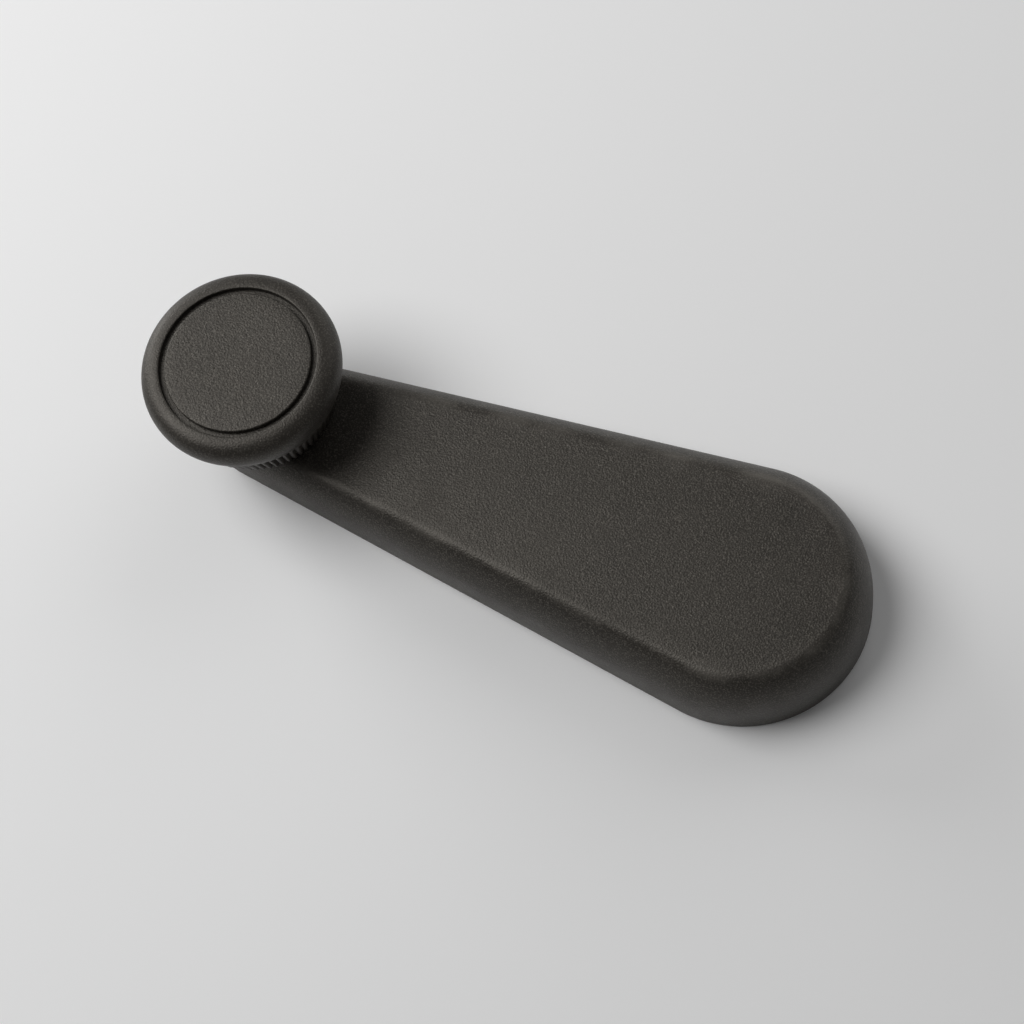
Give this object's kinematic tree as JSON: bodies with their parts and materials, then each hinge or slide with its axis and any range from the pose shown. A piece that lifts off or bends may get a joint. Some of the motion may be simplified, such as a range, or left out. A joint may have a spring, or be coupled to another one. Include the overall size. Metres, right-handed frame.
{
  "type": "window crank handle",
  "caption": "Tapered hollow plastic crank arm with a splined hub and a horseshoe shaft clip at its wide end, and a free-turning ribbed round knob with an inset cap at its narrow end.",
  "frame": {"origin": "the drive shaft's axis, in the plane of the hub's rim, on which the handle also lies flat", "axes": "+X along the arm from the hub to the knob, +Z along both the shaft's and the knob's axes, away from the door and up when the handle lies on a table"},
  "size_m": [0.1434, 0.0484, 0.0306],
  "materials": {
    "grained_plastic": "fine spark-eroded grain, charcoal",
    "knob_plastic": "finer grain, satin, charcoal",
    "carrier_nylon": "glass-filled, dull black",
    "acetal": "smooth, off-white",
    "zinc_alloy": "as die-cast, dull grey",
    "plated_steel": "bright zinc plate",
    "spring_steel": "blued, oiled"
  },
  "bodies": {
    "arm": {"arm_shell": "grained_plastic", "arm_carrier": "carrier_nylon", "spline_sleeve": "zinc_alloy", "hub_glide_ring": "acetal", "cover_screw_1": "plated_steel", "cover_screw_2": "plated_steel", "cover_screw_3": "plated_steel", "cover_screw_4": "plated_steel", "knob_spindle": "plated_steel", "spindle_nut": "plated_steel", "lock_washer": "spring_steel", "thrust_washer": "acetal", "wave_washer": "spring_steel", "top_washer": "plated_steel", "circlip": "spring_steel"},
    "clip": {"retaining_clip": "spring_steel"},
    "knob": {"knob_body": "knob_plastic", "knob_cap": "grained_plastic", "lower_bush": "acetal", "upper_bush": "acetal"}
  },
  "joints": [
    {"name": "knob_spin", "type": "hinge", "parent": "arm", "child": "knob", "pos_m": [0.1, 0, 0.02], "axis": [0, 0, 1], "continuous": true},
    {"name": "clip_release", "type": "slide", "parent": "arm", "child": "clip", "axis": [1, 0, 0], "range_m": [0, 0.008]}
  ]
}
